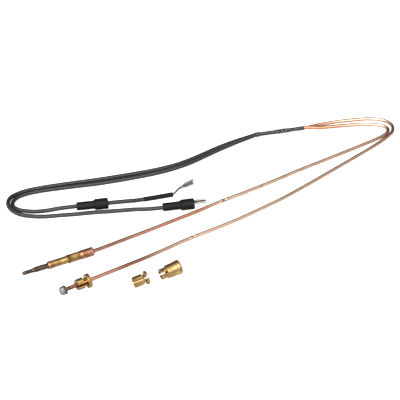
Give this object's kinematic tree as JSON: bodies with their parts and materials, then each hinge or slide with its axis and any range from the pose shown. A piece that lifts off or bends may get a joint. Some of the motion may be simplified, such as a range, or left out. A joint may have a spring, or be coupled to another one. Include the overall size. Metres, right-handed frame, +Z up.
{
  "type": "interrupted gas thermocouple",
  "caption": "Gas flame thermocouple with brass sensor sleeve, copper leads, magnet-end split nut, shrink-sleeved joint, sleeved wires with push-on terminals, and spare brass fittings.",
  "frame": {"origin": "bottom centre of the box round the sensor, leads, joint and fittings, without the two free wires; the surface it lies on is z = 0", "axes": "+X along the layout's longest side, from the sensor towards the hairpin in the leads; +Y towards the joint; +Z up"},
  "size_m": [0.3424, 0.2295, 0.0123],
  "materials": {
    "alloy": "heat-darkened nickel alloy, satin",
    "brass": "turned brass, bright",
    "copper": "drawn copper, bright",
    "tinned": "tin plate, satin",
    "solder": "soft solder, dull",
    "washer": "fibre, matte",
    "insulation": "glass fibre and enamel, matte",
    "shrink": "heat-shrink sleeve, glossy",
    "sleeving": "varnished glass-fibre braid, satin",
    "cover": "soft vinyl, matte"
  },
  "bodies": {
    "leads": {"hot_junction_tip": "alloy", "probe_sheath": "alloy", "probe_insulator": "insulation", "thermo_element_wire": "solder", "sensor_sleeve": "brass", "sensor_collar": "brass", "lead_seal": "alloy", "sensor_lead_tube": "copper", "sensor_lead_conductor": "insulation", "magnet_lead_tube": "copper", "magnet_lead_conductor": "insulation", "lead_ferrule": "copper", "insulating_washer": "washer", "contact_button": "tinned", "joint_shrink_sleeve": "shrink", "joint_end_collar": "shrink", "sensor_splice": "tinned", "magnet_splice": "tinned", "splice_separator": "insulation", "earth_bridge": "solder", "wire_a_sleeving": "sleeving", "wire_a_conductor": "insulation", "wire_b_sleeving": "sleeving", "wire_b_conductor": "insulation", "wire_a_end_sleeve": "cover", "terminal_a": "tinned", "terminal_b": "tinned"},
    "nut": {"gland_nut": "brass"},
    "cover_a": {"terminal_cover_a": "cover"},
    "cover_b": {"terminal_cover_b": "cover"},
    "spare_nut": {"loose_split_nut": "brass"},
    "adaptor": {"adaptor_bush": "brass"}
  },
  "joints": [
    {"name": "nut_slide", "type": "slide", "parent": "leads", "child": "nut", "axis": [0.866, 0.5, 0], "range_m": [-0.009, 0.018]},
    {"name": "cover_a_slide", "type": "slide", "parent": "leads", "child": "cover_a", "axis": [0.9877, 0.1564, 0], "range_m": [-0.012, 0.013]},
    {"name": "cover_b_slide", "type": "slide", "parent": "leads", "child": "cover_b", "axis": [0.9848, 0.1736, 0], "range_m": [-0.011, 0]},
    {"name": "spare_nut_lift", "type": "slide", "parent": "leads", "child": "spare_nut", "axis": [0, 0, 1], "range_m": [0, 0.06]},
    {"name": "adaptor_lift", "type": "slide", "parent": "leads", "child": "adaptor", "axis": [0, 0, 1], "range_m": [0, 0.06]}
  ]
}
